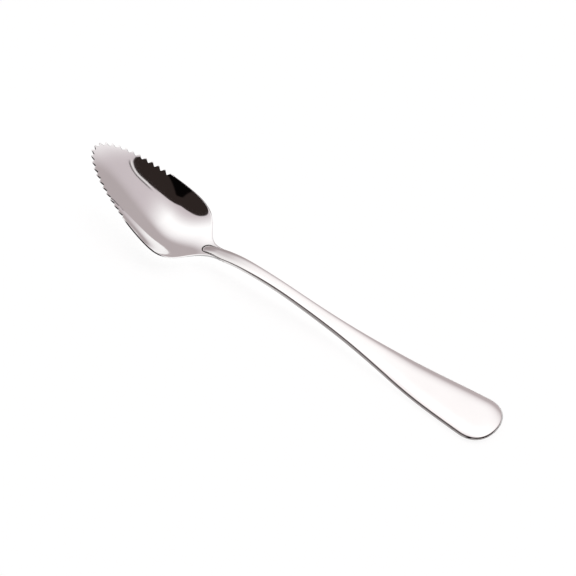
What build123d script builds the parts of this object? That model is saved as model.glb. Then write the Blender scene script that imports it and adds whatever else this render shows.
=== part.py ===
import os
from math import asin, cos, radians, sin, sqrt, tan

from build123d import *

# Grapefruit spoon: a pressed bowl with a serrated nose, a forged handle whose tongue
# laps the heel of the bowl, and the thin braze layer that joins the two.
# It lies hollow side up with +X from the tip of the bowl to the end of the handle.
# The origin is under the middle of the spoon, on the surface that it lies on.

# Bowl, driving dimensions in millimetres and degrees
overall_length = 173.5  # tip of the bowl to the end of the handle
bowl_width = 32.0  # across the rim at the widest place
widest_from_tip = 36.0
nose_arm = 10.0  # how blunt the nose is, as the reach of its curve
side_arm = 9.2  # how full the side is ahead of the widest place
shoulder_arm = 12.6  # how square the shoulder is behind it
neck_arm = 10.8  # how long the shoulder takes to run into the neck
shoulder_length = 20.6  # from the widest place to the neck
neck_width = 5.3
bowl_depth = 8.6  # outside, from the rim line down to the keel
deepest_from_tip = 32.0
nose_rise = 31.0  # angle between the rim line and the keel at the tip
rim_angle = 20.4  # slope of the straight part of the rim
heel_length = 4.6  # ahead of the neck, where rim and keel already run straight
wall = 0.9  # sheet thickness of the bowl
thickening = 10.0  # length in which the wall swells into the solid heel

# Serrated edge
tooth_pitch = 2.47
tooth_depth = 0.8
tooth_crest = 0.35  # flat left on each tooth
tooth_root = 0.3  # radius at the bottom of each notch
notches_per_side = 12

# Neck and lap joint
lap_length = 10.4  # how far tongue and heel overlap
tongue_lead = 2.4  # the tongue starts this far ahead of the heel
neck_drop = 3.3  # from the rim at the widest place down to the heel
neck_angle = 13.5  # climb of the neck
heel_thickness = 1.7  # of the neck below the rim line
tongue_proud = 0.5  # the tongue stands this far above the heel
seat_depth = 0.6  # and is let in this far
tongue_width = 3.8  # at the round end of the tongue
braze_film = 0.15
tongue_gap = 0.1  # fine open line round the tongue in its seat
neck_proud = 0.15  # the neck stands this far out of the bowl where they run together

# Handle
crest_length = 14.0  # from the end of the lap to the highest place of the stem
crest_rise = 1.2
crest_thickness = 2.25
handle_thickness = 2.2  # at the flat end
crest_bend = 14.0  # length of the bend behind the crest
flat_bend = 16.0  # length of the bend ahead of the flat end
flat_length = 24.0  # of the handle that lies flat
stem_width = 5.1
stem_length = 22.0  # from the end of the lap to the narrowest place
flare_arm = 39.9  # how late the handle starts to widen
spread_arm = 37.6  # how long it takes to reach its full width
spread_angle = 4.9  # how much it still widens there
handle_width = 20.0
end_length = 9.5  # length of the round end
corner_reach = 6.2  # how square the corners of the round end are
end_reach = 6.0
edge_radius = 0.5  # rounded edges of the handle and of the neck under the bowl

# Worked out from the sizes above
tip_x = -overall_length / 2
neck_from_tip = widest_from_tip + shoulder_length
heel_from_tip = neck_from_tip - heel_length
thick_from_tip = heel_from_tip - thickening
tongue_from_tip = heel_from_tip - tongue_lead
lap_end_from_tip = tongue_from_tip + lap_length
strip_from_tip = lap_end_from_tip - braze_film  # the braze also closes the end of the heel
crest_from_tip = lap_end_from_tip + crest_length
stem_from_tip = lap_end_from_tip + stem_length
end_from_tip = overall_length - end_length
half_bowl = bowl_width / 2
rim_slope = tan(radians(rim_angle))
neck_slope = tan(radians(neck_angle))
nose_slope = tan(radians(nose_rise))
plan = Plane(origin=(tip_x, 0, 0))
side = Plane(origin=(tip_x, 0, 0), x_dir=(1, 0, 0), z_dir=(0, -1, 0))
heel_depth = heel_thickness - neck_proud
half_heel = neck_width / 2 - neck_proud
clear_of_all = bowl_width  # cutters reach at least this far past what they cut


def ease(x, x0, z0, slope0, x1, z1, slope1):
    """Height at x on the cubic that leaves (x0, z0) and reaches (x1, z1) with these slopes."""
    run = x1 - x0
    u = (x - x0) / run
    start = z0 * (1 + 2 * u) * (1 - u) ** 2 + slope0 * run * u * (1 - u) ** 2
    return start + z1 * u * u * (3 - 2 * u) - slope1 * run * u * u * (1 - u)


def rim_drop(x):
    """Height of the rim line at x from the tip, against its height at the widest place."""
    if x <= widest_from_tip:
        return rim_slope * (widest_from_tip - x)
    if x >= heel_from_tip:
        return -neck_drop + neck_slope * (x - heel_from_tip)
    return ease(x, widest_from_tip, 0, -rim_slope, heel_from_tip, -neck_drop, neck_slope)


def keel_depth(x):
    """Depth of the underside below the rim line at x from the tip."""
    if x <= 0:
        return nose_slope * x
    if x <= deepest_from_tip:
        return ease(x, 0, 0, nose_slope, deepest_from_tip, bowl_depth, 0)
    if x <= heel_from_tip:
        return ease(x, deepest_from_tip, bowl_depth, 0, heel_from_tip, heel_depth, 0)
    return heel_depth


def wall_at(x):
    """Thickness of the bowl at x from the tip: the sheet swells into the solid neck."""
    if x <= thick_from_tip:
        return wall
    if x >= heel_from_tip:
        return heel_thickness + wall
    return ease(x, thick_from_tip, wall, 0, heel_from_tip, heel_thickness + wall, 0)


# The rim is as high as puts the lowest place of the keel on the surface below.
keel_steps = 400
keel_places = [neck_from_tip * step / keel_steps for step in range(keel_steps + 1)]
rim_height = max(keel_depth(x) - rim_drop(x) for x in keel_places)


def rim_at(x):
    return rim_height + rim_drop(x)


# Plan outline of one side of the bowl
with BuildLine() as bowl_side:
    nose_side = Bezier(
        (0, 0),
        (0, nose_arm),
        (widest_from_tip - side_arm, half_bowl),
        (widest_from_tip, half_bowl),
    )
    shoulder = Bezier(
        nose_side @ 1,
        (widest_from_tip + shoulder_arm, half_bowl),
        (neck_from_tip - neck_arm, half_heel),
        (neck_from_tip, half_heel),
    )

nose_steps = 20
shoulder_steps = 24
arc_steps = 12
stations = [nose_side @ (step / nose_steps) for step in range(nose_steps + 1)]
stations += [shoulder @ (step / shoulder_steps) for step in range(1, shoulder_steps + 1)]
nose_radius = 1.5 * nose_arm**2 / (widest_from_tip - side_arm)  # of the plan outline at the tip
lead_in = 0.1 * nose_radius  # the first section stands this far ahead of the tip
past_rim = 0.4  # the skins run on past the rim, as a share of their radius, and are trimmed there
steepest = radians(86)  # but nowhere turn over
skin_tolerance = 0.001


def section_circle(x, half_width):
    """Radius of the outside at a section, and the height of its centre."""
    depth = keel_depth(x)
    if x <= 0:
        radius = nose_radius / nose_slope
    else:
        radius = (half_width**2 + depth**2) / (2 * depth)
    return radius, rim_at(x) - depth + radius


def skin(spots, inside):
    """Smooth face through round sections: the outside of the bowl, or the floor of its hollow."""
    rows = []
    for spot in [Vector(-lead_in, 0)] + spots:
        radius, centre = section_circle(spot.X, spot.Y)
        half_square = spot.Y**2 if spot.X > 0 else 2 * nose_radius * spot.X
        reach = min(steepest, asin(min(1, sqrt(half_square / radius**2 + past_rim**2))))
        if inside:
            radius -= wall_at(spot.X)
        angles = [reach * (2 * step / arc_steps - 1) for step in range(arc_steps + 1)]
        rows.append([(tip_x + spot.X, radius * sin(a), centre - radius * cos(a)) for a in angles])
    return Face.make_surface_from_array_of_points(rows, tol=skin_tolerance)


# Side view of the neck, where heel and tongue overlap. All its lines are parallel.
def neck_line(x, above):
    """Point on the neck at x from the tip, this far above the rim line."""
    return (x, rim_height - neck_drop + neck_slope * (x - heel_from_tip) + above)


def neck_slab(x0, x1, bottom, top):
    """Side view of a slab of the neck between two places and two levels."""
    return (neck_line(x0, bottom), neck_line(x1, bottom), neck_line(x1, top), neck_line(x0, top))


def s_curve(start, end):
    """Curve from start to end that leaves and arrives along X."""
    start = Vector(start)
    end = Vector(end)
    arm = Vector((end.X - start.X) / 2)
    return Bezier(start, start + arm, end - arm, end)


def tongue_outline(gap):
    """One side of the tongue in plan, and of the strip of braze behind it, widened by a gap."""
    half_neck = neck_width / 2 + gap
    centre = (tongue_from_tip + tongue_width / 2, 0)
    round_end = CenterArc(centre, tongue_width / 2 + gap, 90, 90)
    flank = s_curve(round_end @ 0, (strip_from_tip, half_neck))
    return [round_end, flank, Line(flank @ 1, (lap_end_from_tip, half_neck))]


# Plan of the seat that the tongue is let into
with BuildSketch(plan) as seat_plan:
    with BuildLine():
        seat_side = tongue_outline(tongue_gap)
        add(seat_side)
        Line(seat_side[-1] @ 1, (lap_end_from_tip, 0))
        mirror(about=Plane.XZ)
    make_face()

# Plan of the handle, from the round end of the tongue to the round end of the grip
half_handle = handle_width / 2
spread_slope = tan(radians(spread_angle))
with BuildSketch(plan) as handle_plan:
    with BuildLine():
        tongue_side = tongue_outline(0)
        neck_side = s_curve(tongue_side[-1] @ 1, (stem_from_tip, stem_width / 2))
        add(tongue_side + [neck_side])
        flare = Bezier(
            neck_side @ 1,
            (stem_from_tip + flare_arm, stem_width / 2),
            (end_from_tip - spread_arm, half_handle - spread_slope * spread_arm),
            (end_from_tip, half_handle),
        )
        Bezier(
            flare @ 1,
            (end_from_tip + corner_reach, half_handle + spread_slope * corner_reach),
            (overall_length, end_reach),
            (overall_length, 0),
        )
        mirror(about=Plane.XZ)
    make_face()

# Serrated edge: each notch is a groove filed straight across the rim
tooth_gap = tooth_pitch - tooth_crest  # as wide as this one depth above the rim
tooth_reach = 2 * (wall + tooth_depth) / nose_slope  # clears the slanting wall at the tip


def notch_plane(along, hand):
    """Plane across the rim, this far along it from the tip, on one hand of the bowl."""
    spot = nose_side.position_at(along, PositionMode.LENGTH)
    heading = nose_side.tangent_at(along, PositionMode.LENGTH)
    rim_run = Vector(heading.X, hand * heading.Y, -rim_slope * heading.X)
    rim_up = Vector(rim_slope, 0, 1)
    rim_edge = Vector(tip_x + spot.X, hand * spot.Y, rim_at(spot.X))
    return Plane(origin=rim_edge, x_dir=rim_run, z_dir=rim_run.cross(rim_up))


# The room that the tongue takes in the heel, from its seat upwards
with BuildPart() as tongue_room:
    with BuildSketch(side):
        seat_from_tip = tongue_from_tip - tongue_gap
        Polygon(*neck_slab(seat_from_tip, lap_end_from_tip, -seat_depth, clear_of_all), align=None)
    extrude(amount=neck_width, both=True)
    extrude(seat_plan.sketch, amount=clear_of_all, mode=Mode.INTERSECT)

# The neck under the tongue is a bar that starts inside the wall of the bowl
neck_axis = Axis((0, 0, 0), (1, 0, neck_slope))
with BuildPart() as neck_bar:
    with BuildSketch(side):
        bar_start = heel_from_tip - heel_thickness
        Polygon(*neck_slab(bar_start, strip_from_tip, -heel_thickness, 0), align=None)
    extrude(amount=neck_width / 2, both=True)
    fillet(neck_bar.edges().filter_by(neck_axis).group_by(Axis.Z)[0], edge_radius)

# Bowl: what lies between the outside and the floor of the hollow, with the neck bar and the teeth
with BuildPart() as bowl:
    extrude(skin(stations, inside=False), amount=clear_of_all, dir=(0, 0, 1))
    hollow_floor = skin([spot for spot in stations if spot.X < heel_from_tip], inside=True)
    extrude(hollow_floor, amount=clear_of_all, dir=(0, 0, 1), mode=Mode.SUBTRACT)
    # Only what lies below the rim line stays, which leaves a narrow flat all round.
    with BuildSketch(side):
        with BuildLine():
            ahead = (-clear_of_all, rim_at(-clear_of_all))
            straight = Line(ahead, (widest_from_tip, rim_height))
            third = (heel_from_tip - widest_from_tip) / 3
            sag = Bezier(
                straight @ 1,
                (widest_from_tip + third, rim_height - rim_slope * third),
                neck_line(heel_from_tip - third, 0),
                neck_line(heel_from_tip, 0),
            )
            climb = Line(sag @ 1, neck_line(lap_end_from_tip, 0))
            below_lap = (lap_end_from_tip, -bowl_depth)
            Polyline(climb @ 1, below_lap, (-clear_of_all, -bowl_depth), ahead)
        make_face()
    extrude(amount=clear_of_all, both=True, mode=Mode.INTERSECT)
    add(neck_bar.part)
    add(tongue_room.part, mode=Mode.SUBTRACT)
    # Notches stand at even steps along the rim, half a step each way from the tip.
    for notch in range(notches_per_side):
        for hand in (1, -1):
            with BuildSketch(notch_plane(tooth_pitch * (notch + 0.5), hand)) as notch_face:
                Polygon((-tooth_gap, tooth_depth), (0, -tooth_depth), (tooth_gap, tooth_depth), align=None)
                fillet(notch_face.vertices().sort_by(Axis.Y)[0], tooth_root)
    extrude(amount=tooth_reach, both=True, mode=Mode.SUBTRACT)


def rail(above, crest_z, flat_z):
    """Side view of the top or the underside of the handle, from the tongue to the end."""
    lap_top = Vector(neck_line(lap_end_from_tip, above))
    crest = Vector(crest_from_tip, crest_z)
    flat_from_tip = overall_length - flat_length
    third = (crest.X - lap_top.X) / 3
    fall = (crest_z - flat_z) / (flat_from_tip - crest_from_tip - (crest_bend + flat_bend) / 2)
    climb = Line(neck_line(tongue_from_tip, above), lap_top)
    rise = Bezier(lap_top, lap_top + (third, neck_slope * third), crest - (third, 0), crest)
    over = Bezier(crest, crest + (crest_bend / 2, 0), crest + (crest_bend, -fall * crest_bend / 2))
    level = Bezier(
        (flat_from_tip - flat_bend, flat_z + fall * flat_bend / 2),
        (flat_from_tip - flat_bend / 2, flat_z),
        (flat_from_tip, flat_z),
    )
    descent = Line(over @ 1, level @ 0)
    flat = Line(level @ 1, (overall_length, flat_z))
    return [climb, rise, over, descent, level, flat]


# Handle: a strip of the side view, trimmed to the plan outline, with the heel's room cut out
crest_top = neck_line(lap_end_from_tip, tongue_proud)[1] + crest_rise
with BuildPart() as handle:
    with BuildSketch(side):
        with BuildLine():
            top = rail(tongue_proud, crest_top, handle_thickness)
            underside = rail(-heel_thickness, crest_top - crest_thickness, 0)
            add(top + underside)
            Line(top[0] @ 0, underside[0] @ 0)
            Line(top[-1] @ 1, underside[-1] @ 1)
        make_face()
    extrude(amount=handle_width, both=True)
    extrude(handle_plan.sketch, amount=clear_of_all, mode=Mode.INTERSECT)
    round_edges = handle.edges().filter_by(Axis.Z, reverse=True).filter_by(Axis.Y, reverse=True)
    fillet(round_edges, edge_radius)
    with BuildSketch(side):
        below_heel = -heel_thickness - seat_depth
        above_film = braze_film - seat_depth
        Polygon(*neck_slab(tongue_from_tip, lap_end_from_tip, below_heel, above_film), align=None)
    extrude(amount=neck_width, both=True, mode=Mode.SUBTRACT)

# Braze: a strip that closes the end of the heel, and a film between the tongue and its seat
with BuildPart() as braze:
    with BuildSketch(side):
        Polygon(*neck_slab(strip_from_tip, lap_end_from_tip, -heel_thickness, above_film), align=None)
    extrude(amount=neck_width / 2, both=True)
    fillet(braze.edges().filter_by(neck_axis).group_by(Axis.Z)[0], edge_radius)
    with BuildSketch(side):
        Polygon(*neck_slab(tongue_from_tip, lap_end_from_tip, -seat_depth, above_film), align=None)
    extrude(amount=neck_width, both=True)
    extrude(handle_plan.sketch, amount=clear_of_all, mode=Mode.INTERSECT)

os.makedirs("parts", exist_ok=True)
for name, piece in (("bowl", bowl), ("handle", handle), ("braze", braze)):
    piece.part.label = name
    export_step(piece.part, f"parts/{name}.step")
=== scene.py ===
import math
from functools import partial

import bmesh
import bpy
import numpy as np
from mathutils import Matrix, Vector


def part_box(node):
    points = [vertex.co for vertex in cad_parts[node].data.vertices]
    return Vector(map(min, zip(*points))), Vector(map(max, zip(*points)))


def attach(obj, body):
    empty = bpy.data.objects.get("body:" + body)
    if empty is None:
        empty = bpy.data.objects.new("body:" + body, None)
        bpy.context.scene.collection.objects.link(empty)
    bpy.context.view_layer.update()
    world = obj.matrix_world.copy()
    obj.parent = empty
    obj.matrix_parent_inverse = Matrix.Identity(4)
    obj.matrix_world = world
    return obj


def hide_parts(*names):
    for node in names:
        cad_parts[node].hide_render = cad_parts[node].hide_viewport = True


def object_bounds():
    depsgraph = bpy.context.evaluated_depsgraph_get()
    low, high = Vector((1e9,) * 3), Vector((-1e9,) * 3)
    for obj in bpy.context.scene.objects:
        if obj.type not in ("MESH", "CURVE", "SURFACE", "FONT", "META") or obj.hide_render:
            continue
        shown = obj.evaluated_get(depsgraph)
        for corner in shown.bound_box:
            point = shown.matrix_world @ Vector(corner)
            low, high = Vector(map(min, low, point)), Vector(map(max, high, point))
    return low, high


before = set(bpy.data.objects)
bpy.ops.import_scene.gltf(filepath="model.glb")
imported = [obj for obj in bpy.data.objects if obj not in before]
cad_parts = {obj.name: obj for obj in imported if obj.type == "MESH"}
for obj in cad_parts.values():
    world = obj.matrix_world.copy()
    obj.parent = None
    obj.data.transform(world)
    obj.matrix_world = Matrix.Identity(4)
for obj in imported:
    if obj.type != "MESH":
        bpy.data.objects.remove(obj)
cadLow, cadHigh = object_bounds()
mm = 0.001
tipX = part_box("bowl")[0].x / mm  # places along the spoon are counted from the tip, in millimetres
spoonLength = (cadHigh.x - cadLow.x) / mm
print("frame loaded, spoon", round(spoonLength, 1), "mm long")


# Curves that several pieces share

tableStep = 0.02  # millimetres from one place to the next in a table of heights
tablePast = 2.0  # how far such a table runs past what it is for
nearZero = 1e-6


def bezier(points, steps):
    t = np.linspace(0, 1, steps + 1)[:, None]
    start, arm, reach, end = (np.array(p, float) for p in points)
    return (1 - t) ** 3 * start + 3 * t * (1 - t) ** 2 * arm + 3 * t * t * (1 - t) * reach + t**3 * end


def sCurve(start, end, steps):  # leaves and arrives along the spoon
    middle = (start[0] + end[0]) / 2
    return bezier([start, (middle, start[1]), (middle, end[1]), end], steps)


def joined(*runs):  # runs of points end to end, shared points once
    return np.concatenate([runs[0]] + [run[1:] for run in runs[1:]])


def between(first, second, share):
    return first + (second - first) * share


def ease(x, x0, z0, slope0, x1, z1, slope1):  # cubic through two heights with these slopes
    run = x1 - x0
    u = np.clip((x - x0) / run, 0, 1)
    start = z0 * (1 + 2 * u) * (1 - u) ** 2 + slope0 * run * u * (1 - u) ** 2
    return start + z1 * u * u * (3 - 2 * u) - slope1 * run * u * u * (1 - u)


def softStep(x, start, end):
    u = np.clip((x - start) / (end - start), 0, 1)
    return u * u * u * (u * (6 * u - 15) + 10)


def polished(heights, width):  # takes the kinks out of a table of heights, as buffing does
    reach = int(3 * width / tableStep)  # past three widths a bell curve is as good as nil
    kernel = np.exp(-0.5 * (np.arange(-reach, reach + 1) * tableStep / width) ** 2)
    ahead = 2 * heights[0] - heights[reach:0:-1]
    behind = 2 * heights[-1] - heights[-2 : -reach - 2 : -1]
    return np.convolve(np.r_[ahead, heights, behind], kernel / kernel.sum(), "valid")


def alongOutline(outline):  # distance along the outline, and the way inwards from it
    tangent = np.gradient(outline, axis=0)
    tangent /= np.linalg.norm(tangent, axis=1)[:, None]
    distance = np.r_[0, np.cumsum(np.linalg.norm(np.diff(outline, axis=0), axis=1))]
    return distance, np.column_stack([tangent[:, 1], -tangent[:, 0]])


# Meshes

weldGrid = 2e-6  # millimetres, within which points are one
squareLead = 0.35  # share of a mesh line that leaves the edge squarely
mirror = np.array([1, -1, 1])  # to the other side of the spoon


def archLines(edge, way, spine, shares):  # mesh lines from an edge to the spine
    lead = edge + way * squareLead * np.linalg.norm(spine - edge, axis=1)[:, None]
    r = shares[..., None]
    return (1 - r) ** 2 * edge[:, None] + 2 * r * (1 - r) * lead[:, None] + r**2 * spine[:, None]


def gridFaces(near, far):  # from each column to the next
    return np.stack([near[:, :-1], far[:, :-1], far[:, 1:], near[:, 1:]], axis=-1)


def weld(points, quads):  # one vertex per place, no collapsed faces
    places = np.round(points / weldGrid)
    _, first, place = np.unique(places, axis=0, return_index=True, return_inverse=True)
    faces = []
    for quad in place.reshape(-1)[quads]:
        corners = [c for i, c in enumerate(quad) if c != quad[i - 1]]
        if len(set(corners)) == len(corners) > 2:
            faces.append([int(c) for c in corners])
    return first, faces


def meshPiece(name, points, quads, sharpAngle, attributes):
    first, faces = weld(points, quads)
    mesh = bpy.data.meshes.new(name)
    mesh.from_pydata((points[first] * mm).tolist(), [], faces)
    for label, values in attributes.items():
        kind, field = ("FLOAT", "value") if values.ndim == 1 else ("FLOAT_VECTOR", "vector")
        layer = mesh.attributes.new(label, kind, "POINT")
        layer.data.foreach_set(field, values[first].astype(np.float32).ravel())
    work = bmesh.new()
    work.from_mesh(mesh)
    bmesh.ops.recalc_face_normals(work, faces=work.faces)
    work.to_mesh(mesh)
    work.free()
    piece = bpy.data.objects.new(name, mesh)
    bpy.context.scene.collection.objects.link(piece)
    shadeSmooth(mesh, sharpAngle)
    return piece


def shadeSmooth(mesh, sharpAngle):
    mesh.polygons.foreach_set("use_smooth", np.ones(len(mesh.polygons), bool))
    mesh.set_sharp_from_angle(angle=math.radians(sharpAngle))


def settle(piece, sharpAngle):  # modifiers become the mesh
    done = bpy.data.meshes.new_from_object(piece.evaluated_get(bpy.context.evaluated_depsgraph_get()))
    piece.modifiers.clear()
    piece.data = done
    shadeSmooth(done, sharpAngle)


def finishPiece(piece, node, material):
    piece.data.materials.clear()
    piece.data.materials.append(material)
    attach(piece, "root")
    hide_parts(node)
    piece.data.calc_loop_triangles()
    print(node, "made,", len(piece.data.loop_triangles), "triangles")


# Nodes

def link(tree, value, socket):
    if isinstance(value, bpy.types.NodeSocket):
        tree.links.new(value, socket)
    else:
        socket.default_value = value


def sums(tree, operation, *values):
    node = tree.nodes.new("ShaderNodeMath")
    node.operation = operation
    for value, socket in zip(values, node.inputs):
        link(tree, value, socket)
    return node.outputs[0]


def arrows(tree, operation, arrow, other):
    node = tree.nodes.new("ShaderNodeVectorMath")
    node.operation = operation
    link(tree, arrow, node.inputs[0])
    link(tree, other, node.inputs["Scale" if operation == "SCALE" else 1])
    return node.outputs["Vector"]


def ramp(tree, value, start, end):  # 0 at the start, 1 at the end, soft between
    node = tree.nodes.new("ShaderNodeMapRange")
    node.interpolation_type = "SMOOTHSTEP"
    link(tree, value, node.inputs["Value"])
    node.inputs["From Min"].default_value = start
    node.inputs["From Max"].default_value = end
    return node.outputs["Result"]


def blend(tree, share, first, second):  # colours, the second one where the share is 1
    node = tree.nodes.new("ShaderNodeMix")
    node.data_type = "RGBA"
    link(tree, share, node.inputs["Factor"])
    for colour, name in ((first, "A_Color"), (second, "B_Color")):
        socket = next(i for i in node.inputs if i.identifier == name)
        link(tree, (*colour, 1.0) if isinstance(colour, tuple) else colour, socket)
    return next(o for o in node.outputs if o.identifier == "Result_Color")


# Steel

buffing = {
    "cloudDetail": 3.0,
    "cloudRange": (0.35, 0.65),  # of the clouds, from the deep tone to the pale one
    "lineDetail": 4.0,
}
bowlFinish = {
    "deepTone": (0.865, 0.86, 0.86),
    "paleTone": (0.90, 0.895, 0.895),
    # painted shade tone, mixed in where the mesh is marked
    "paintedShadeTone": (0.05, 0.046, 0.046),
    "cloudScale": 60.0,
    "lineScale": (300.0, 4000.0, 4000.0),  # per metre
    "roughness": (0.03, 0.07),
    "lineStrength": 0.05,
    "lineDepth": 0.000002,
}
handleFinish = {
    "deepTone": (0.92, 0.905, 0.90),
    "paleTone": (0.96, 0.945, 0.94),
    # painted shade tone, mixed in where the mesh is marked
    "paintedShadeTone": (0.13, 0.11, 0.11),
    "cloudScale": 45.0,
    "lineScale": (200.0, 4000.0, 4000.0),
    "roughness": (0.04, 0.09),
    "lineStrength": 0.05,
    "lineDepth": 0.000002,
}
# near-black braze tones: the braze is real, but its dark bead in the gap round the tongue is painted shade
# of that gap
brazeTonesAndGapShade = {
    "deepTone": (0.06, 0.052, 0.048),
    "paleTone": (0.12, 0.10, 0.09),
    "paintedShadeTone": (0.3, 0.27, 0.24),
    "cloudScale": 900.0,
    "lineScale": (2500.0, 2500.0, 2500.0),
    "roughness": (0.25, 0.45),
    "lineStrength": 0.3,
    "lineDepth": 0.00001,
}


def steel(name, finish):
    material = bpy.data.materials.new(name)
    material.use_nodes = True
    tree = material.node_tree
    shader = tree.nodes["Principled BSDF"]
    shader.inputs["Metallic"].default_value = 1.0
    place = tree.nodes.new("ShaderNodeTexCoord").outputs["Object"]

    clouds = tree.nodes.new("ShaderNodeTexNoise")  # slow drift of the polish
    clouds.inputs["Scale"].default_value = finish["cloudScale"]
    clouds.inputs["Detail"].default_value = buffing["cloudDetail"]
    tree.links.new(place, clouds.inputs["Vector"])

    stretch = tree.nodes.new("ShaderNodeMapping")  # fine buffing lines along the spoon
    stretch.inputs["Scale"].default_value = finish["lineScale"]
    tree.links.new(place, stretch.inputs["Vector"])
    lines = tree.nodes.new("ShaderNodeTexNoise")
    lines.inputs["Scale"].default_value = 1.0
    lines.inputs["Detail"].default_value = buffing["lineDetail"]
    tree.links.new(stretch.outputs["Vector"], lines.inputs["Vector"])

    tone = tree.nodes.new("ShaderNodeValToRGB")
    stops = tone.color_ramp.elements
    for stop, position, key in zip(stops, buffing["cloudRange"], ("deepTone", "paleTone")):
        stop.position = position
        stop.color = (*finish[key], 1.0)
    tree.links.new(clouds.outputs["Fac"], tone.inputs["Fac"])
    edge = tree.nodes.new("ShaderNodeAttribute")  # painted shade on filed flanks, the rim and the handle's edges, marked on the mesh
    edge.attribute_name = "edge"
    # mixes in the painted shade tone where the mesh is marked
    shade = blend(tree, edge.outputs["Fac"], tone.outputs["Color"], finish["paintedShadeTone"])
    tree.links.new(shade, shader.inputs["Base Color"])

    rough = tree.nodes.new("ShaderNodeMapRange")
    rough.inputs["To Min"].default_value = finish["roughness"][0]
    rough.inputs["To Max"].default_value = finish["roughness"][1]
    tree.links.new(lines.outputs["Fac"], rough.inputs["Value"])
    tree.links.new(rough.outputs["Result"], shader.inputs["Roughness"])

    bump = tree.nodes.new("ShaderNodeBump")
    bump.inputs["Strength"].default_value = finish["lineStrength"]
    bump.inputs["Distance"].default_value = finish["lineDepth"]
    tree.links.new(lines.outputs["Fac"], bump.inputs["Height"])
    tree.links.new(bump.outputs["Normal"], shader.inputs["Normal"])
    return material


# Neck, where the tongue of the handle laps the heel of the bowl

neck = {
    "heelAt": 52.0,  # where the neck starts to climb
    "drop": 3.3,  # below the rim at the widest place
    "climb": 13.5,  # degrees
    "depth": 1.7,  # of the heel under the tongue
    "halfWidth": 2.65,
    "squareness": 3.0,  # of its rounded underside
    "tongueAt": 49.6,
    "tongueRadius": 1.9,
    "tongueProud": 0.5,
    "tongueFall": 0.6,  # how far the top of the tongue dips at its tip
    "tongueFallReach": 6.0,
    "tonguePoints": 25,  # of the mesh, on a quarter of its round end
    "flankSteps": 30,
    "seatDepth": 0.6,
    "seatToolTop": 5.0,  # how far the tool that cuts the seat stands above the neck
    "seatToolRows": 4,
    "film": 0.15,
    "gap": 0.3,  # round the tongue, filled by a bead of braze that is darkened as painted shade of the gap
    "gapTaper": 0.05,  # share of the gap that is left at the end of the lap
    "end": 60.0,
}
heelEnd = neck["end"] - neck["film"]
neckSlope = math.tan(math.radians(neck["climb"]))


# Bowl

bowl = {
    "halfWidth": 16.0,
    "widest": 36.0,
    "noseArm": 10.0,
    "sideArm": 9.2,
    "shoulderArm": 12.6,
    "shoulderEnd": 56.6,
    "neckArm": 10.8,
    "depth": 8.6,
    "deepest": 32.0,
    "noseRise": 31.0,  # degrees
    "rimAngle": 20.4,
    "neckFrom": (44.0, 55.0),  # where the underside turns into that of the neck
    "lip": 0.45,  # width of the rim, seen from above
    "edge": 0.08,  # softened edges of the rim
    "hollow": 6.0,  # depth of the inside below the rim
    "hollowDeepest": 33.5,
    "hollowRise": 6.0,  # degrees
    "hollowEnd": 51.4,
    "leastHalf": 0.01,  # of the hollow at its ends, where nothing may be divided by zero
    "leastDepth": 0.001,
    "flare": 0.1,  # how much the hollow flattens at its edges towards the heel
    "flareFrom": (18.0, 52.0),
    "noseFlare": 0.16,  # and towards the tip
    "noseFlareFrom": (20.0, 9.0),
    "rimWall": 0.32,  # upright thickness at the teeth
    "smoothWall": 0.65,  # and at the smooth part of the rim
    "smoothWallFrom": (25.0, 30.0),
    "wallGain": 0.28,  # how fast the wall thickens towards the middle
    "wallSoft": 0.3,  # rounds the line where the wall meets the keel
    "solidHeel": (41.0, 49.0),  # where it grows solid
    "heelGain": 4.0,  # wall that is added there, more than there is room for
    "lipSlant": 0.36,  # how far the outer edge of the smooth rim lies below the inner one
    "lipSlantEnd": (46.0, 38.0),
    "rimShade": 0.55,  # painted shade on the outer face of the rim
    "lipShade": 1.0,  # and on its smooth top, drawn as a dark painted line
    "buffed": 2.0,  # how far the polish evens out the keel
    "rimBuffed": 0.6,  # and the line of the rim
    "toothPitch": 2.47,
    "toothDepth": 1.15,  # seen from above
    "toothCrest": 0.3,
    "toothRoot": 0.3,
    "toothInside": 0.84,  # share of the cut that the inner edge gets
    "toothReach": 3.0,  # how far in the mesh gives way to a cut
    "toothShadeDepth": 0.3,  # share of the cut from which its face gets the full painted shade
    "notches": 12,
    "outlineSteps": 3000,
    "endSteps": 300,
    "toothLines": (4, 6, 3),  # of the mesh, on half a root, a flank and half a crest
    "smoothColumns": 130,  # along the rest of the rim
    "rows": 60,  # from the rim to the middle, and half as many outside
    "rowSpread": 1.4,  # they lie closer together at the rim
    "searchSteps": 1500,  # to find where the outer face of the rim starts
    "spineBack": 16.0,  # how far behind the tip its mesh line meets the spine
    "spineFade": 1.6,
    "sharpAngle": 28.0,
}
rimSlope = math.tan(math.radians(bowl["rimAngle"]))
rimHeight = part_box("bowl")[1].z / mm - rimSlope * bowl["widest"]  # at the widest place


def neckLine(x):
    return rimHeight - neck["drop"] + neckSlope * (x - neck["heelAt"])


def bowlOutline():
    widest, side, heel = bowl["widest"], bowl["halfWidth"], neck["halfWidth"]
    nose = bezier(
        [(0, 0), (0, bowl["noseArm"]), (widest - bowl["sideArm"], side), (widest, side)],
        bowl["outlineSteps"],
    )
    shoulder = bezier(
        [
            nose[-1],
            (widest + bowl["shoulderArm"], side),
            (bowl["shoulderEnd"] - bowl["neckArm"], heel),
            (bowl["shoulderEnd"], heel),
        ],
        bowl["outlineSteps"],
    )
    return joined(nose, shoulder, np.linspace(shoulder[-1], (heelEnd, heel), bowl["endSteps"]))


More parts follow.
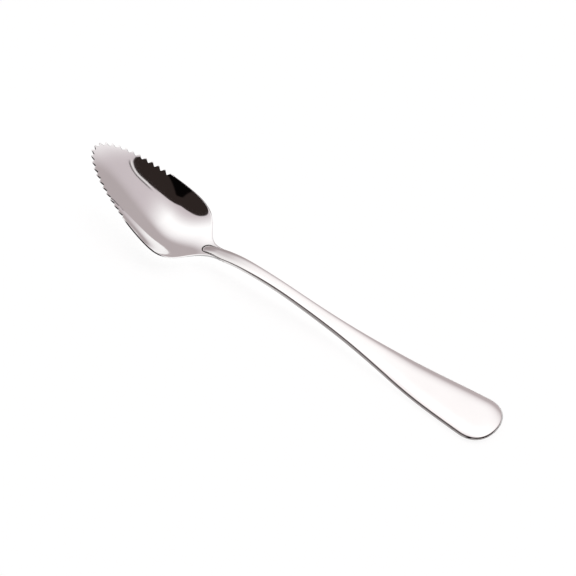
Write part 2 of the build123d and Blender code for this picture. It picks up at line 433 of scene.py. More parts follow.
def bowlTable():
    x = np.arange(0, neck["end"] + tablePast, tableStep)
    outline = bowlOutline()
    inside = outline + bowl["lip"] * alongOutline(outline)[1]
    inside = inside[np.r_[True, np.diff(np.maximum.accumulate(inside[:, 0])) > 0]]
    noseSlope, hollowSlope = (math.tan(math.radians(bowl[k])) for k in ("noseRise", "hollowRise"))
    depth = np.where(
        x < bowl["deepest"],
        ease(x, 0, 0, noseSlope, bowl["deepest"], bowl["depth"], 0),
        ease(x, bowl["deepest"], bowl["depth"], 0, neck["heelAt"], neck["depth"], 0),
    )
    hollow = np.where(
        x < bowl["hollowDeepest"],
        ease(x, bowl["lip"], 0, hollowSlope, bowl["hollowDeepest"], bowl["hollow"], 0),
        ease(x, bowl["hollowDeepest"], bowl["hollow"], 0, bowl["hollowEnd"], 0, 0),
    )
    hollow = np.where(x < bowl["lip"], hollowSlope * (x - bowl["lip"]), hollow)
    sag = ease(x, bowl["widest"], 0, -rimSlope, neck["heelAt"], -neck["drop"], neckSlope)
    rim = np.where(x < bowl["widest"], rimSlope * (bowl["widest"] - x), sag)
    rim = np.where(x > neck["heelAt"], neckLine(x) - rimHeight, rim)
    return {
        "x": x,
        "halfSquare": np.interp(x, outline[:, 0], outline[:, 1] ** 2),
        "insideSquare": np.interp(x, inside[:, 0], np.maximum(inside[:, 1], 0) ** 2),
        "depth": polished(depth, bowl["buffed"]),
        "hollow": polished(hollow, bowl["buffed"]),
        "rim": polished(rim, bowl["rimBuffed"]) + rimHeight,
    }


curves = bowlTable()


def bowlCurve(name, x):
    return np.interp(x, curves["x"], curves[name])


def outsideHeight(x, y):
    halfSquare = np.maximum(bowlCurve("halfSquare", x), nearZero)
    depth = np.maximum(bowlCurve("depth", x), nearZero)
    rim = bowlCurve("rim", x)
    radius = (halfSquare + depth**2) / (2 * depth)
    bowlPart = rim - depth + radius - np.sqrt(np.maximum(radius**2 - y**2, 0))
    power = neck["squareness"]
    inward = np.clip(1 - (y**2 / halfSquare) ** (power / 2), 0, 1)
    neckPart = rim - depth * inward ** (1 / power)
    keel = between(bowlPart, neckPart, softStep(x, *bowl["neckFrom"]))
    # The wall is thin at the rim and thickens towards the middle, but never reaches below the keel
    inset = np.maximum(halfSquare - y**2, 0) / (2 * np.sqrt(halfSquare))
    wall = between(bowl["rimWall"], bowl["smoothWall"], softStep(x, *bowl["smoothWallFrom"]))
    wall = wall + bowl["wallGain"] * inset + bowl["heelGain"] * softStep(x, *bowl["solidHeel"])
    skin = insideHeight(x, y) - wall
    soft = bowl["wallSoft"]
    mix = np.maximum(soft - np.abs(skin - keel), 0) / soft
    return np.maximum(skin, keel) + mix**2 * soft / 4 * np.minimum(inset, 1)  # less in the last millimetre


def insideHeight(x, y):  # a shallow round hollow that runs out flat at the heel
    halfSquare = np.maximum(bowlCurve("insideSquare", x), bowl["leastHalf"] ** 2)
    depth = np.maximum(bowlCurve("hollow", x), bowl["leastDepth"])
    radius = (halfSquare + depth**2) / (2 * depth)
    sunk = np.maximum(depth - radius + np.sqrt(np.maximum(radius**2 - y**2, 0)), 0)
    flare = 1 + bowl["flare"] * softStep(x, *bowl["flareFrom"])
    flare = flare + bowl["noseFlare"] * softStep(x, *bowl["noseFlareFrom"])
    return bowlCurve("rim", x) - depth * (sunk / depth) ** flare


def toothColumns():  # places along the rim: notch roots, flanks and crests each have their own lines
    half = (bowl["toothPitch"] - bowl["toothCrest"]) / 2
    slope = bowl["toothDepth"] / half
    root = bowl["toothRoot"] * slope / math.hypot(1, slope)
    ends = (0, root, half, bowl["toothPitch"] / 2)
    side = joined(*(np.linspace(a, b, n) for a, b, n in zip(ends, ends[1:], bowl["toothLines"])))
    one = np.r_[-side[:0:-1], side][1:]
    return np.concatenate([(n + 0.5) * bowl["toothPitch"] + one for n in range(bowl["notches"])])


def bowlColumns():
    outline = bowlOutline()
    distance, inwards = alongOutline(outline)
    inwards[0] = (1, 0)
    teeth = toothColumns()
    smooth = np.linspace(teeth[-1], distance[-1], bowl["smoothColumns"])[1:]
    along = np.r_[0, teeth, smooth]
    rim = np.column_stack([np.interp(along, distance, outline[:, i]) for i in (0, 1)])
    way = np.column_stack([np.interp(along, distance, inwards[:, i]) for i in (0, 1)])
    way /= np.linalg.norm(way, axis=1)[:, None]
    return along, rim, way


def endFaces(lower, upper):  # between two lines of points that run from the rim to the middle
    shares = np.linspace(0, 1, len(upper))
    partner = lower[np.round(shares * (len(lower) - 1)).astype(int)]
    return [[partner[i], partner[i + 1], upper[i + 1], upper[i]] for i in range(len(upper) - 1)]


def makeBowlBlank():
    along, rim, way = bowlColumns()
    back = bowl["spineBack"] * (1 - rim[:, 0] / heelEnd) ** bowl["spineFade"]
    spine = np.column_stack([rim[:, 0] + back, 0 * rim[:, 0]])

    def onWall(height, shares):
        spot = archLines(rim, way, spine, shares)
        return np.dstack([spot, height(spot[..., 0], spot[..., 1])])

    def rimLine(x, y):
        return bowlCurve("rim", x)

    def outsidePlace(drop):  # how far along each line the outside is this far below the rim
        fine = np.linspace(0, 1, bowl["searchSteps"]) ** 2
        spot = onWall(outsideHeight, fine)
        below = np.maximum.accumulate(bowlCurve("rim", spot[..., 0]) - spot[..., 2], axis=1)
        return np.array([np.interp(d, line, fine) for d, line in zip(drop, below)])

    pace = 2 * squareLead * np.linalg.norm(spine - rim, axis=1)  # millimetres per share, at the rim
    spread = np.linspace(0, 1, bowl["rows"] + 1) ** bowl["rowSpread"]
    smoothFrom = bowl["toothPitch"] * bowl["notches"]
    smoothRim = softStep(along, smoothFrom, smoothFrom + bowl["toothPitch"])
    smoothRim = smoothRim * softStep(rim[:, 0], *bowl["lipSlantEnd"])
    slant = bowl["lipSlant"] * smoothRim
    outStart = outsidePlace(bowl["edge"] + slant)
    inEdge, soft = bowl["lip"] / pace, bowl["edge"] / pace
    inStart = inEdge + soft
    outRows = onWall(outsideHeight, outStart[:, None] + (1 - outStart[:, None]) * spread[::2])
    inRows = onWall(insideHeight, inStart[:, None] + (1 - inStart[:, None]) * spread)
    outCorner, inCorner = onWall(rimLine, 0 * inEdge[:, None]), onWall(rimLine, inEdge[:, None])
    outFlat, inFlat = onWall(rimLine, soft[:, None]), onWall(rimLine, (inEdge - soft)[:, None])
    outCorner[..., 2] -= slant[:, None]
    outFlat[..., 2] -= slant[:, None] * (1 - bowl["edge"] / bowl["lip"])
    inFlat[..., 2] -= slant[:, None] * bowl["edge"] / bowl["lip"]
    turn = 1 - math.sqrt(0.5)  # to the middle of a quarter circle
    outMid = outCorner + turn * (outRows[:, :1] - outCorner + outFlat - outCorner)
    inMid = inCorner + turn * (inRows[:, :1] - inCorner + inFlat - inCorner)
    outer = [outRows[:, ::-1], outMid, outFlat]
    side = np.concatenate(outer + [inFlat, inMid, inRows], axis=1)
    inner = sum(rows.shape[1] for rows in outer)  # the first row of the inside

    # How every point gives way inwards along its wall when the rim beside it is filed:
    # slope and bend of the wall there, from three heights half a cut apart
    half = bowl["toothDepth"] / 2
    slide, bend = np.zeros_like(side), np.zeros_like(side)
    slide[..., :2] = way[:, None]
    share = np.zeros(side.shape[:2])
    for part, height, least, most in (
        (slice(0, inner), outsideHeight, 0, 1),
        (slice(inner, None), insideHeight, bowl["lip"], bowl["toothInside"]),
    ):
        plan = side[:, part, :2]
        spots = [plan + way[:, None] * half * step for step in (0, 1, 2)]
        z = [height(spot[..., 0], spot[..., 1]) for spot in spots]
        slide[:, part, 2] = (4 * z[1] - z[2] - 3 * z[0]) / (2 * half)
        bend[:, part, 2] = (z[2] - 2 * z[1] + z[0]) / (2 * half**2)
        inset = np.linalg.norm(plan - rim[:, None], axis=-1)
        share[:, part] = most * np.clip(1 - np.maximum(inset - least, 0) / bowl["toothReach"], 0, 1)

    # Rows beside the rim that get painted shade: those that a file cuts, the outer face and the smooth top
    mark, paintedRimShade = np.zeros_like(share), np.zeros_like(share)
    # rows whose filed faces get painted shade
    mark[:, inner - 3 : inner + 2] = 1.0
    # painted shade on the outer face and the smooth top of the rim
    paintedRimShade[:, inner - 4 : inner - 1] = bowl["rimShade"]
    paintedRimShade[:, inner - 1 : inner + 1] = bowl["lipShade"] * smoothRim[:, None]

    def bothHands(values):  # the columns of the other side up to the tip, then those of this side
        other = values[:0:-1]
        return np.concatenate([other * mirror if values.ndim == 3 else other, values])

    points, slide, bend = (bothHands(values) for values in (side, slide, bend))
    along, share, mark, paintedRimShade = (bothHands(values) for values in (along, share, mark, paintedRimShade))
    points[..., 0] += tipX
    columns, count = points.shape[:2]
    index = np.arange(columns * count).reshape(columns, count)
    ends = []
    for column in (index[0], index[-1]):  # the end of the heel, between its underside and its top
        ends += endFaces(column[inner - 1 :: -1], column[inner:])
    quads = np.vstack([gridFaces(index[:-1], index[1:]).reshape(-1, 4), ends])
    attributes = {
        "alongRim": np.repeat(along, count) * mm,
        "fileShare": share.ravel(),
        "toothShadeRows": mark.ravel(),
        "paintedRimShade": paintedRimShade.ravel(),
        "fileSlide": slide.reshape(-1, 3),
        "fileBend": bend.reshape(-1, 3) / mm,
    }
    return meshPiece("serratedBowl", points.reshape(-1, 3), quads, bowl["sharpAngle"], attributes)


def toothTree():
    tree = bpy.data.node_groups.new("fileTeeth", "GeometryNodeTree")
    sockets = tree.interface
    sockets.new_socket("Blank", in_out="INPUT", socket_type="NodeSocketGeometry")
    for name in ("Pitch", "Depth", "Crest", "Root"):
        sockets.new_socket(name, in_out="INPUT", socket_type="NodeSocketFloat")
    sockets.new_socket("Notches", in_out="INPUT", socket_type="NodeSocketInt")
    sockets.new_socket("Steel", in_out="INPUT", socket_type="NodeSocketMaterial")
    sockets.new_socket("Bowl", in_out="OUTPUT", socket_type="NodeSocketGeometry")
    given = tree.nodes.new("NodeGroupInput").outputs
    calc = partial(sums, tree)

    def attribute(name, kind):
        node = tree.nodes.new("GeometryNodeInputNamedAttribute")
        node.data_type = kind
        node.inputs["Name"].default_value = name
        return node.outputs["Attribute"]

    # Depth of the cut at each place along the rim: straight flanks and a round root
    along = attribute("alongRim", "FLOAT")
    fromCrest = calc("MODULO", along, given["Pitch"])
    halfPitch = calc("MULTIPLY", given["Pitch"], 0.5)
    fromRoot = calc("ABSOLUTE", calc("SUBTRACT", fromCrest, halfPitch))
    half = calc("MULTIPLY", calc("SUBTRACT", given["Pitch"], given["Crest"]), 0.5)
    slope = calc("DIVIDE", given["Depth"], half)
    slant = calc("SQRT", calc("ADD", 1.0, calc("MULTIPLY", slope, slope)))
    flank = calc("SUBTRACT", given["Depth"], calc("MULTIPLY", slope, fromRoot))
    rootSquare = calc("MULTIPLY", given["Root"], given["Root"])
    hollow = calc("SUBTRACT", rootSquare, calc("MULTIPLY", fromRoot, fromRoot))
    hollow = calc("SQRT", calc("MAXIMUM", hollow, 0.0))
    rounded = calc("SUBTRACT", given["Depth"], calc("MULTIPLY", given["Root"], slant))
    rounded = calc("ADD", rounded, hollow)
    rootEdge = calc("DIVIDE", calc("MULTIPLY", given["Root"], slope), slant)
    inRoot = calc("LESS_THAN", fromRoot, rootEdge)
    cut = calc("ADD", flank, calc("MULTIPLY", inRoot, calc("SUBTRACT", rounded, flank)))
    serrated = calc("LESS_THAN", along, calc("MULTIPLY", given["Pitch"], given["Notches"]))
    cut = calc("MULTIPLY", calc("MAXIMUM", cut, 0.0), serrated)

    # Painted shade: of each notch the flank that faces the heel, and the marked rows beside the rim
    markDepth = calc("MULTIPLY", given["Depth"], bowl["toothShadeDepth"])
    dark = calc("MINIMUM", calc("DIVIDE", cut, markDepth), 1.0)
    dark = calc("MULTIPLY", dark, attribute("toothShadeRows", "FLOAT"))
    dark = calc("MULTIPLY", dark, calc("LESS_THAN", fromCrest, halfPitch))
    mark = tree.nodes.new("GeometryNodeStoreNamedAttribute")
    mark.data_type = "FLOAT"
    mark.inputs["Name"].default_value = "edge"
    link(tree, given["Blank"], mark.inputs["Geometry"])
    link(tree, calc("MAXIMUM", dark, attribute("paintedRimShade", "FLOAT")), mark.inputs["Value"])

    filed = calc("MULTIPLY", cut, attribute("fileShare", "FLOAT"))
    straight = arrows(tree, "SCALE", attribute("fileSlide", "FLOAT_VECTOR"), filed)
    filedSquare = calc("MULTIPLY", filed, filed)
    curved = arrows(tree, "SCALE", attribute("fileBend", "FLOAT_VECTOR"), filedSquare)
    move = tree.nodes.new("GeometryNodeSetPosition")
    link(tree, mark.outputs["Geometry"], move.inputs["Geometry"])
    link(tree, arrows(tree, "ADD", straight, curved), move.inputs["Offset"])
    whole = tree.nodes.new("GeometryNodeRealizeInstances")
    link(tree, move.outputs["Geometry"], whole.inputs["Geometry"])
    dress = tree.nodes.new("GeometryNodeSetMaterial")
    link(tree, whole.outputs["Geometry"], dress.inputs["Geometry"])
    link(tree, given["Steel"], dress.inputs["Material"])
    link(tree, dress.outputs["Geometry"], tree.nodes.new("NodeGroupOutput").inputs["Bowl"])
    return tree


def fileTeeth(piece, material):
    tree = toothTree()
    work = piece.modifiers.new("fileTeeth", "NODES")
    work.node_group = tree
    values = {
        "Pitch": bowl["toothPitch"] * mm,
        "Depth": bowl["toothDepth"] * mm,
        "Crest": bowl["toothCrest"] * mm,
        "Root": bowl["toothRoot"] * mm,
        "Notches": bowl["notches"],
        "Steel": material,
    }
    for item in tree.interface.items_tree:
        if item.name in values:
            work[item.identifier] = values[item.name]
    settle(piece, bowl["sharpAngle"])
    for label in ("alongRim", "fileShare", "toothShadeRows", "paintedRimShade", "fileSlide", "fileBend"):
        piece.data.attributes.remove(piece.data.attributes[label])


# Handle

handle = {
    "topEdge": 0.6,  # radius of the top edge
    "lapEdge": 0.3,  # and of the tongue
    "sideFrom": (40, 15),  # degrees on that edge where the painted shade of the side begins
    "sideAt": (0.33, 0.66),  # places on the side, as shares of its height from the top
    "sideShade": (0.8, 0.42),  # how much painted shade the side gets at those places
    "underShade": 0.15,  # and how much more painted shade the turn to the underside gets
    "underShadeFrom": (5, 20),  # degrees on that turn
    "underShadeTo": (60, 35),
    "tongueShade": 0.3,  # painted shade on the top of the tongue, fading out along the stem
    "tongueShadeTo": (78.0, 54.0),
    "neckShade": 0.5,  # share of the side's painted shade that is kept at the neck
    "shadeFrom": (66.0, 100.0),
    "crown": (0.35, 0.36),  # slope of the top at its edges, on the stem and on the grip
    "crownFrom": (2.6, 7.0),  # half widths of the two
    "crownReach": 6.5,
    "crownShare": 0.95,  # of the half width, which that reach never passes
    "crownLeast": 1.0,  # half width that is counted at the tip of the tongue
    "crownPower": 3,
    "flatFrom": (66.0, 110.0),  # where the round underside grows flat
    "underReach": (2.2, 1.1),  # width of the turn to the underside, at the neck and at the grip
    "underRise": 1.15,  # and its height at the grip
    "underSquareness": 2.4,
    "lapTurn": 0.05,  # softened edge under the tongue
    "crestAt": 74.0,
    "crestRise": 1.2,
    "crestThickness": 2.25,
    "thickness": 2.2,
    "crestBend": 14.0,
    "flatBend": 16.0,
    "flatLength": 24.0,
    "buffed": 1.5,
    "stemAt": 82.0,
    "halfStem": 2.55,
    "flareArm": 39.9,
    "spreadArm": 37.6,
    "spread": 4.9,  # degrees
    "halfWidth": 10.0,
    "endAt": 164.0,
    "cornerReach": 6.2,
    "endReach": 6.0,
    "outlineSteps": (50, 120, 70),  # of the mesh, on the stem, the flare and the end
    "topRows": 16,
    "edgeRows": 9,
    "turnRows": 10,
    "underRows": 11,
    "sharpAngle": 35.0,
}
spreadSlope = math.tan(math.radians(handle["spread"]))


def tongueOutline(gap):  # one side, from the round end to the end of the lap
    radius = neck["tongueRadius"] + gap
    centre = neck["tongueAt"] + neck["tongueRadius"]
    turn = np.linspace(math.pi, math.pi / 2, neck["tonguePoints"])
    arc = np.column_stack([centre + radius * np.cos(turn), radius * np.sin(turn)])
    wide = neck["halfWidth"] + gap * neck["gapTaper"]
    flank = sCurve((centre, radius), (heelEnd, wide), neck["flankSteps"])
    return joined(arc, flank, np.array([flank[-1], (neck["end"], wide)]))


def handleOutline():
    stemSteps, flareSteps, endSteps = handle["outlineSteps"]
    stemAt, endAt, halfWidth = handle["stemAt"], handle["endAt"], handle["halfWidth"]
    tongue = tongueOutline(0)
    stem = sCurve(tongue[-1], (stemAt, handle["halfStem"]), stemSteps)
    flare = bezier(
        [
            stem[-1],
            (stemAt + handle["flareArm"], handle["halfStem"]),
            (endAt - handle["spreadArm"], halfWidth - spreadSlope * handle["spreadArm"]),
            (endAt, halfWidth),
        ],
        flareSteps,
    )
    end = bezier(
        [
            flare[-1],
            (endAt + handle["cornerReach"], halfWidth + spreadSlope * handle["cornerReach"]),
            (spoonLength, handle["endReach"]),
            (spoonLength, 0),
        ],
        endSteps,
    )
    return joined(tongue, stem, flare, end)


def bendAway(u):  # a parabola that goes on as a straight line
    return np.where(u < 1, u * u / 2, u - 0.5)


def rail(above, crestZ, flatZ):  # height of the top or the underside along the handle
    lap, crest, flat = neck["end"], handle["crestAt"], spoonLength - handle["flatLength"]
    crestBend, flatBend = handle["crestBend"], handle["flatBend"]
    fall = (crestZ - flatZ) / (flat - crest - (crestBend + flatBend) / 2)
    x = np.arange(neck["tongueAt"] - tablePast, spoonLength + tablePast, tableStep)
    lapZ = neckLine(lap) + above
    z = np.where(x < lap, neckLine(x) + above, ease(x, lap, lapZ, neckSlope, crest, crestZ, 0))
    over = crestZ - fall * crestBend * bendAway(np.clip((x - crest) / crestBend, 0, None))
    z = np.where(x > crest, over, z)
    level = flatZ + fall * flatBend * bendAway(np.clip((flat - x) / flatBend, 0, None))
    z = np.where(x > flat - flatBend, level, z)
    return x, polished(z, handle["buffed"])


crestTop = neckLine(neck["end"]) + neck["tongueProud"] + handle["crestRise"]
topRail = rail(neck["tongueProud"], crestTop, handle["thickness"])
underRail = rail(-neck["depth"], crestTop - handle["crestThickness"], 0)

barMesh = {
    "startRun": 6.0,  # over which the spine starts behind the round end
    "endRun": 23.5,  # over which it stops short of the other end
    "endPower": 2.2,
    "endShort": 9.0,
}


def bar(name, outline, step, shape, sharpAngle):
    # A solid seen from above as the outline; shape gives its heights, and step is where its underside jumps
    inwards = alongOutline(outline)[1]
    inwards[0] = (1, 0)
    closed = outline[-1, 1] < nearZero  # the outline ends on the middle of the spoon
    if closed:
        inwards[-1] = (-1, 0)
    at = int(np.argmin(np.abs(outline[:, 0] - step)))
    order = np.r_[np.arange(at + 1), np.arange(at, len(outline))]
    behind = np.arange(len(order)) > at
    rim, way = outline[order], inwards[order]
    near = np.clip(1 - (rim[:, 0] - outline[0, 0]) / barMesh["startRun"], 0, 1)
    spineX = rim[:, 0] + near**2 * neck["tongueRadius"]
    if closed:
        near = np.clip((rim[:, 0] - outline[-1, 0] + barMesh["endRun"]) / barMesh["endRun"], 0, 1)
        spineX = spineX - near ** barMesh["endPower"] * barMesh["endShort"]
    spine = np.column_stack([spineX, 0 * spineX])

    def across(inset, shares):  # from a line inside the edge to the spine
        return archLines(rim + way * inset[:, None], way, spine, shares)

    rows, marks = shape(rim, way, across, behind)
    points = np.concatenate(rows, axis=1)
    marks = [np.broadcast_to(np.reshape(m, (-1, 1)), row.shape[:2]) for row, m in zip(rows, marks)]
    mark = np.concatenate(marks, axis=1)
    loop = np.concatenate([points, points[::-1] * mirror])
    loop[..., 0] += tipX
    columns, count = loop.shape[:2]
    index = np.arange(columns * count).reshape(columns, count)
    quads = gridFaces(index, np.roll(index, -1, axis=0))
    if not closed:  # an open end is closed by a flat face
        half = len(points)
        quads = np.delete(quads, half - 1, axis=0)
        ends = []
        for edge in (index[half - 1], index[half]):
            ends += [[edge[i], edge[i + 1], edge[-2 - i], edge[-1 - i]] for i in range(count // 2 - 1)]
        quads = np.vstack([quads.reshape(-1, 4), ends])
    attributes = {"edge": np.concatenate([mark, mark[::-1]]).astype(float).ravel()}
    return meshPiece(name, loop.reshape(-1, 3), quads.reshape(-1, 4), sharpAngle, attributes)


def handleShape(rim, way, across, behind):
    rimX = rim[:, 0]
    radius = between(handle["lapEdge"], handle["topEdge"], softStep(rimX, neck["end"], handle["stemAt"]))
    halfWidth = np.maximum(np.maximum.accumulate(rim[:, 1]), handle["crownLeast"])
    crownReach = np.minimum(handle["crownReach"], handle["crownShare"] * halfWidth)
    crownSlope = between(*handle["crown"], softStep(halfWidth, *handle["crownFrom"]))
    crownFall = crownSlope * crownReach / handle["crownPower"]

    def spot(inset, height):  # a point inside the edge of every column
        plan = rim + way * inset[:, None]
        return np.dstack([plan[:, None], height(plan[:, 0])[:, None]])

    def top(x):
        ahead = np.clip(1 - (x - neck["tongueAt"]) / neck["tongueFallReach"], 0, 1)
        return np.interp(x, *topRail) - neck["tongueFall"] * ahead**2

    def crown(inset):  # how far the top falls towards its edges
        perColumn = (-1,) + (1,) * (inset.ndim - 1)
        left = np.clip(1 - inset / crownReach.reshape(perColumn), 0, 1)
        return crownFall.reshape(perColumn) * left ** handle["crownPower"]

    def under(x):
        stem = np.interp(x, *underRail)
        lap = neckLine(x) + neck["film"] - neck["seatDepth"]
        return np.where(behind if stem.ndim == 1 else behind[:, None], stem, lap)

    topPlan = across(radius, np.linspace(1, 0, handle["topRows"] + 1)[:-1])
    inset = np.linalg.norm(topPlan - rim[:, None], axis=-1)
    rows = [np.dstack([topPlan, top(topPlan[..., 0]) - crown(inset)])]
    # painted shade for each row: the top of the tongue, a dark line on the top edge, the side and the turn
    # under it
    marks = [handle["tongueShade"] * softStep(rimX, *handle["tongueShadeTo"])]
    fade = between(handle["neckShade"], 1, softStep(rimX, *handle["shadeFrom"]))
    for angle in np.radians(np.linspace(90, 0, handle["edgeRows"])):
        step = radius * (1 - math.cos(angle))
        lift = radius * (math.sin(angle) - 1)
        rows.append(spot(step, lambda x: top(x) - crown(step) + lift))
        marks.append(fade * softStep(math.degrees(angle), *handle["sideFrom"]))

    # The underside is round at the neck and grows flat along the handle
    flatten = softStep(rimX, *handle["flatFrom"])
    reach = np.where(behind, between(*handle["underReach"], flatten), handle["lapTurn"])
    rise = np.where(behind, between(neck["depth"], handle["underRise"], flatten), handle["lapTurn"])
    power = 2 / between(neck["squareness"], handle["underSquareness"], flatten)
    flush = np.zeros(len(rim))

    def side(x, share):
        return (top(x) - crown(flush) - radius) * (1 - share) + (under(x) + rise) * share

    for share, shade in zip(handle["sideAt"], handle["sideShade"]):
        rows.append(spot(flush, lambda x: side(x, share)))
        marks.append(fade * shade)
    for angle in np.radians(np.linspace(0, 90, handle["turnRows"])):
        step = reach * (1 - max(math.cos(angle), 0) ** power)
        lift = rise * (1 - math.sin(angle) ** power)
        rows.append(spot(step, lambda x: under(x) + lift))
        low = softStep(math.degrees(angle), *handle["underShadeFrom"])
        low = handle["sideShade"][1] + handle["underShade"] * low
        marks.append(fade * low * softStep(math.degrees(angle), *handle["underShadeTo"]))
    underPlan = across(reach, np.linspace(0, 1, handle["underRows"] + 1)[1:])
    rows.append(np.dstack([underPlan, under(underPlan[..., 0])]))
    return rows, marks + [0]


# Braze

braze = {
    "sideInset": 0.03,  # how far the layer stays inside the sides of the neck
    "bead": ((0.95, 0.02), (0.5, 0.06), (0.04, 0.0)),  # shares of the gap from outside, and heights there
    "filmShare": 0.96,  # of the gap, where the film under the tongue starts
    "underInset": 0.04,
    "topRows": 9,
    "underRows": 25,
    "underSpread": 1.8,  # those rows lie closer together at the edge
    "sharpAngle": 35.0,
}


def brazeShape(rim, way, across, behind):
    face = neck["film"] - neck["seatDepth"]
    edge = np.column_stack([rim[:, 0], np.minimum(rim[:, 1], neck["halfWidth"] - braze["sideInset"])])

    def under(x, inset):
        power = neck["squareness"]
        part = np.clip(1 - (1 - inset / neck["halfWidth"]) ** power, 0, 1) ** (1 / power)
        strip = neckLine(x) - neck["depth"] * part
        film = neckLine(x) - neck["seatDepth"]
        return np.where(behind[:, None], np.minimum(strip, film), film)

    def ring(share, height):  # a line along the bead
        plan = edge + way * (neck["gap"] * share)
        floor = np.minimum(insideHeight(plan[:, 0], plan[:, 1]), neckLine(plan[:, 0])) + height
        return np.dstack([plan[:, None], np.where(behind, neckLine(plan[:, 0]) + face, floor)[:, None]])

    one = np.ones(len(rim))
    topPlan = across(neck["gap"] * braze["filmShare"] * one, np.linspace(1, 0, braze["topRows"]))
    underShares = np.linspace(0, 1, braze["underRows"]) ** braze["underSpread"]
    underPlan = across(braze["underInset"] * one, underShares)
    inset = np.minimum(np.linalg.norm(underPlan - rim[:, None], axis=-1), neck["halfWidth"])
    rows = [np.dstack([topPlan, neckLine(topPlan[..., 0]) + face])]
    rows += [ring(share, height) for share, height in braze["bead"]]
    rows.append(np.dstack([underPlan, under(underPlan[..., 0], inset)]))
    return rows, [0] * len(rows)


# Seat for the tongue, cut into the heel of the bowl

def seatShape(rim, way, across, behind):
    flush, shares = np.zeros(len(rim)), np.linspace(0, 1, neck["seatToolRows"])
    topPlan, underPlan = across(flush, shares[::-1]), across(flush, shares)
    return [
        np.dstack([topPlan, neckLine(topPlan[..., 0]) + neck["seatToolTop"]]),
        np.dstack([underPlan, neckLine(underPlan[..., 0]) - neck["seatDepth"]]),
    ], [0, 0]


def cutSeat(piece):
    tool = bar("seatTool", tongueOutline(neck["gap"]), neck["end"], seatShape, bowl["sharpAngle"])
    work = piece.modifiers.new("seat", "BOOLEAN")
    work.object = tool
    work.operation = "DIFFERENCE"
    work.solver = "EXACT"
    settle(piece, bowl["sharpAngle"])
    bpy.data.objects.remove(tool)


# Pieces

bowlSteel = steel("bowlSteel", bowlFinish)
handleSteel = steel("handleSteel", handleFinish)
brazeMetal = steel("brazeMetal", brazeTonesAndGapShade)

bowlPiece = makeBowlBlank()
fileTeeth(bowlPiece, bowlSteel)
cutSeat(bowlPiece)
finishPiece(bowlPiece, "bowl", bowlSteel)

handlePiece = bar("handleForging", handleOutline(), neck["end"], handleShape, handle["sharpAngle"])
finishPiece(handlePiece, "handle", handleSteel)

brazePiece = bar("brazeLayer", tongueOutline(neck["gap"]), heelEnd, brazeShape, braze["sharpAngle"])
finishPiece(brazePiece, "braze", brazeMetal)


# Floor, light and camera

studio = {
    "floorSize": 40.0,
    "floorTone": 0.35,
    "floorRoughness": 0.9,
    "floorGlow": 0.86,  # the white of the floor that is not shaded by the spoon
    "panelTone": (1.18, 1.165, 1.16),
    "sideTone": (0.648, 0.578, 0.598),
    "lowTone": (0.497, 0.437, 0.442),
    "darkTone": (0.028, 0.020, 0.018),
    "cardTone": (0.002, 0.0015, 0.0015),
    "underTone": (0.36, 0.33, 0.33),
    # Edges below lie on a level plane one unit above the spoon, x along it and y away from the lens
    "horizon": 0.02,  # directions nearer to level than this count as this
    "panelRight": (0.69, 0.315),
    "panelLeft": (-1.9, -1.2),
    "panelFront": (-0.175, 0.397),
    "panelBack": (1.75, 0.39),
    "lowFrom": (0.77, 1.80),
    # Start and slope of each edge of the dark opening
    "darkEdges": ((-0.425, 0.75), (-0.93, 1.6), (-0.195, 0.0)),
    "darkLeft": ((-0.205, -0.5), (-0.09, -0.13)),
    "darkCorner": 0.05,
    "darkLeftCorner": 0.16,
    "darkSoft": 0.012,
    "glint": (0.0, 0.06),  # a bright strip along the dark opening, and a grey one outside it
    "glintTone": (0.85, 0.81, 0.81),
    "frame": (0.075, 0.11),
    "frameTone": (0.16, 0.145, 0.145),
    "frameFrom": (0.63, 0.68),
    "underFrom": (-1.4, -1.8),  # low down on the side of the lens
    "rightTone": (0.10, 0.09, 0.09),
    "rightFrom": (1.6, 2.4),  # low down past the grip
    # A black card in the opening, two of its edges again by start and slope
    "cardLeft": 0.385,
    "cardRight": (0.32, -0.44),
    "cardTop": (-0.92, 1.24),
}


def makeFloor():
    size = studio["floorSize"] / 2
    corners = [(-size, -size, 0), (size, -size, 0), (size, size, 0), (-size, size, 0)]
    mesh = bpy.data.meshes.new("floor")
    mesh.from_pydata(corners, [], [(0, 1, 2, 3)])
    floor = bpy.data.objects.new("floor", mesh)
    bpy.context.scene.collection.objects.link(floor)
    material = bpy.data.materials.new("paleFloor")
    material.use_nodes = True
    tree = material.node_tree
    shader = tree.nodes["Principled BSDF"]
    shader.inputs["Base Color"].default_value = (studio["floorTone"],) * 3 + (1.0,)
    shader.inputs["Roughness"].default_value = studio["floorRoughness"]
    shader.inputs["Specular IOR Level"].default_value = 0.0
    shader.inputs["Emission Color"].default_value = (1.0, 1.0, 1.0, 1.0)
    path = tree.nodes.new("ShaderNodeLightPath").outputs
    seen = sums(tree, "MAXIMUM", path["Is Camera Ray"], path["Is Glossy Ray"])
    seen = sums(tree, "MAXIMUM", seen, path["Is Transmission Ray"])
    tree.links.new(sums(tree, "MULTIPLY", seen, studio["floorGlow"]), shader.inputs["Emission Strength"])
    mesh.materials.append(material)


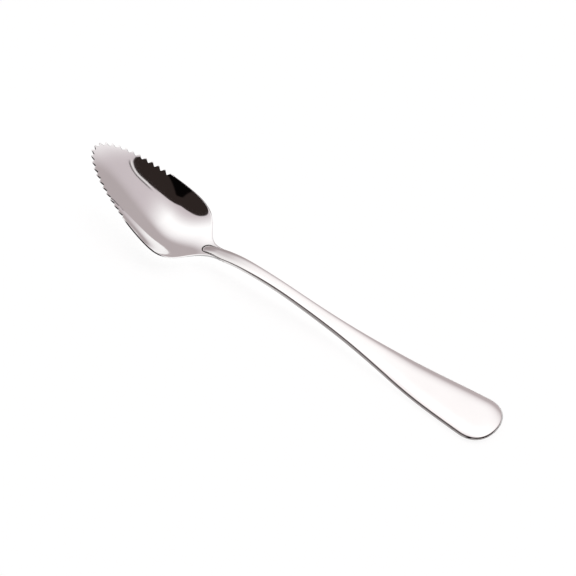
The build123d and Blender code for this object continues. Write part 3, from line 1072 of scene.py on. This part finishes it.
def makeWorld():
    world = bpy.data.worlds.new("studio")
    bpy.context.scene.world = world
    world.use_nodes = True
    tree = world.node_tree
    tree.nodes.clear()
    calc, fade, mix = (partial(make, tree) for make in (sums, ramp, blend))
    way = tree.nodes.new("ShaderNodeSeparateXYZ")
    tree.links.new(tree.nodes.new("ShaderNodeTexCoord").outputs["Generated"], way.inputs[0])
    height = calc("MAXIMUM", way.outputs["Z"], studio["horizon"])
    x = calc("DIVIDE", way.outputs["X"], height)
    y = calc("DIVIDE", way.outputs["Y"], height)
    soft = studio["darkSoft"]

    def line(value, start, slope):
        return calc("MULTIPLY_ADD", value, slope, start)

    def past(value, edge):  # 1 where the value is above the edge
        return fade(calc("SUBTRACT", value, edge), -soft, soft)

    tone = mix(fade(y, *studio["lowFrom"]), studio["sideTone"], studio["lowTone"])
    panel = calc("MULTIPLY", fade(x, *studio["panelRight"]), fade(x, *studio["panelLeft"]))
    panel = calc("MULTIPLY", panel, fade(y, *studio["panelFront"]))
    panel = calc("MULTIPLY", panel, fade(y, *studio["panelBack"]))
    tone = mix(panel, tone, studio["panelTone"])
    tone = mix(fade(x, *studio["rightFrom"]), tone, studio["rightTone"])

    edge = line(x, *studio["darkEdges"][0])
    for start, slope in studio["darkEdges"][1:]:
        edge = calc("SMOOTH_MAX", edge, line(x, start, slope), studio["darkCorner"])
    runs = [line(x, *run) for run in studio["darkLeft"]]
    left = calc("SMOOTH_MIN", *runs, studio["darkLeftCorner"])
    edge = calc("SMOOTH_MAX", edge, left, studio["darkLeftCorner"])
    away = calc("SUBTRACT", y, edge)  # how far outside the dark opening
    aside = fade(x, *studio["frameFrom"])
    for strip, colour in (("glint", "glintTone"), ("frame", "frameTone")):
        start, end = studio[strip]
        share = calc("MULTIPLY", fade(away, start - soft, start), fade(away, end + soft, end))
        tone = mix(calc("MULTIPLY", share, aside), tone, studio[colour])
    tone = mix(past(edge, y), tone, studio["darkTone"])
    tone = mix(fade(y, *studio["underFrom"]), tone, studio["underTone"])

    card = calc("MULTIPLY", past(x, studio["cardLeft"]), past(line(y, *studio["cardRight"]), x))
    card = calc("MULTIPLY", card, past(line(x, *studio["cardTop"]), y))
    tone = mix(card, tone, studio["cardTone"])

    sky = tree.nodes.new("ShaderNodeBackground")
    tree.links.new(tone, sky.inputs["Color"])
    tree.links.new(sky.outputs[0], tree.nodes.new("ShaderNodeOutputWorld").inputs["Surface"])


view = {
    "azimuth": 27.3835,  # degrees
    "elevation": 47.3461,
    "roll": 10.1711,
    "distance": 1200.0,  # millimetres
    "pixelsPerMm": 2.89018,
    "imageSize": 576.0,
    "target": (0.0, 0.0, 8.0),
    "targetPixel": (3.2198, 3.2910),  # right of and below the middle of the image
    "sensor": 36.0,
    "clip": (0.05, 20.0),  # metres
}


def makeCamera():
    a, e, r = (math.radians(view[k]) for k in ("azimuth", "elevation", "roll"))
    level = Vector((math.cos(a), math.sin(a), 0))
    back = Vector((math.sin(a) * math.cos(e), -math.cos(a) * math.cos(e), math.sin(e)))
    upright = back.cross(level)
    right = math.cos(r) * level + math.sin(r) * upright
    up = -math.sin(r) * level + math.cos(r) * upright
    across, down = (p / view["pixelsPerMm"] for p in view["targetPixel"])
    middle = Vector(view["target"]) - across * right + down * up
    data = bpy.data.cameras.new("camera")
    data.sensor_width = view["sensor"]
    data.lens = view["pixelsPerMm"] * view["distance"] / view["imageSize"] * view["sensor"]
    data.clip_start, data.clip_end = view["clip"]
    camera = bpy.data.objects.new("camera", data)
    turn = Matrix((right, up, back)).transposed()
    camera.matrix_world = Matrix.Translation((middle + back * view["distance"]) * mm) @ turn.to_4x4()
    bpy.context.scene.collection.objects.link(camera)
    bpy.context.scene.camera = camera


makeFloor()
makeWorld()
makeCamera()
bpy.context.scene.view_settings.view_transform = "Standard"
print("floor, light and camera set")
